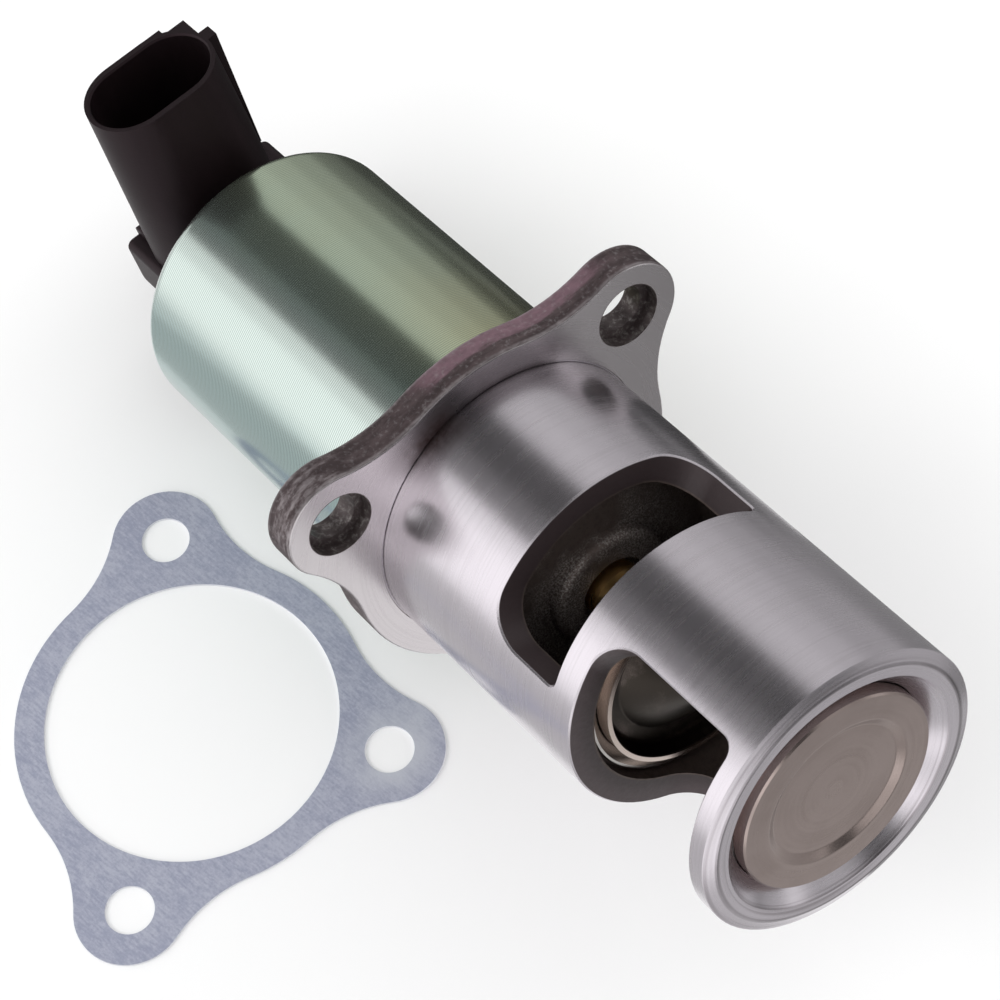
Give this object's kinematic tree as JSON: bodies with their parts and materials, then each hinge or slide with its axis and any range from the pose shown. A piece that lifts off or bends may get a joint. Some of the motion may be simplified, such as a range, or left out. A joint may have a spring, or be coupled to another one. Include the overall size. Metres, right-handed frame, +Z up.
{
  "type": "exhaust gas recirculation valve",
  "caption": "Cartridge valve that meters exhaust gas: ported barrel with twin discs on one stem, eared flange, solenoid can, plug socket, and a loose flange gasket.",
  "frame": {"origin": "centre of the footprint of valve and gasket, on the bench they lie on", "axes": "+X along the bench towards the cartridge's nose, in the upright plane of the valve's axis; +Z up; the valve's own axis leans 13.5 degrees up from +X"},
  "size_m": [0.1822, 0.1336, 0.0829],
  "materials": {
    "cast_steel": "satin turned barrel, rough cast flange edge",
    "seat_steel": "ground",
    "bronze": "turned bronze",
    "seal_rubber": "matte",
    "spring_steel": "drawn wire and pressed steel",
    "plated_can": "green-yellow passivated zinc over turned steel",
    "soft_iron": "machined soft iron",
    "bobbin_plastic": "natural nylon",
    "copper": "enamelled copper",
    "sleeve_steel": "thin drawn tube",
    "black_plastic": "glass-filled nylon, fine grain",
    "tinned_brass": "tinned",
    "ceramic_board": "ceramic with printed tracks",
    "gasket_sheet": "bright rolled sheet",
    "stem_steel": "ground",
    "disc_steel": "fine turned, slightly bronze tinted"
  },
  "bodies": {
    "housing": {"valve_body": "cast_steel", "upper_seat_ring": "seat_steel", "stem_guide": "bronze", "stem_seal": "seal_rubber", "return_spring": "spring_steel", "solenoid_can": "plated_can", "can_seal": "seal_rubber", "pole_piece": "soft_iron", "rod_bush": "bronze", "coil_bobbin": "bobbin_plastic", "coil_winding": "copper", "armature_sleeve": "sleeve_steel", "rear_yoke": "soft_iron", "coil_leads": "copper", "connector_head": "black_plastic", "head_seal": "seal_rubber", "connector_terminals": "tinned_brass", "sensor_board": "ceramic_board", "sensor_spring": "spring_steel", "flange_gasket": "gasket_sheet"},
    "valve": {"valve_stem": "stem_steel", "upper_disc": "disc_steel", "end_disc": "disc_steel", "spring_retainer": "spring_steel", "retainer_clip": "spring_steel"},
    "plunger": {"armature": "soft_iron", "push_rod": "stem_steel"},
    "sensor": {"sensor_slider": "bobbin_plastic", "sensor_wiper": "tinned_brass"}
  },
  "joints": [
    {"name": "valve_lift", "type": "slide", "parent": "housing", "child": "valve", "axis": [0.9724, 0, 0.2331], "range_m": [0, 0.0055], "stiffness_N_per_m": 3000, "springref_m": -0.008, "deforming": ["return_spring"]},
    {"name": "armature_stroke", "type": "slide", "parent": "housing", "child": "plunger", "axis": [0.9724, 0, 0.2331], "range_m": [0, 0.0055]},
    {"name": "sensor_stroke", "type": "slide", "parent": "housing", "child": "sensor", "axis": [0.9724, 0, 0.2331], "range_m": [0, 0.0055], "deforming": ["sensor_spring"]}
  ],
  "couplings": [
    {"joint": "armature_stroke", "follows": "valve_lift", "ratio": 1},
    {"joint": "sensor_stroke", "follows": "valve_lift", "ratio": 1}
  ]
}
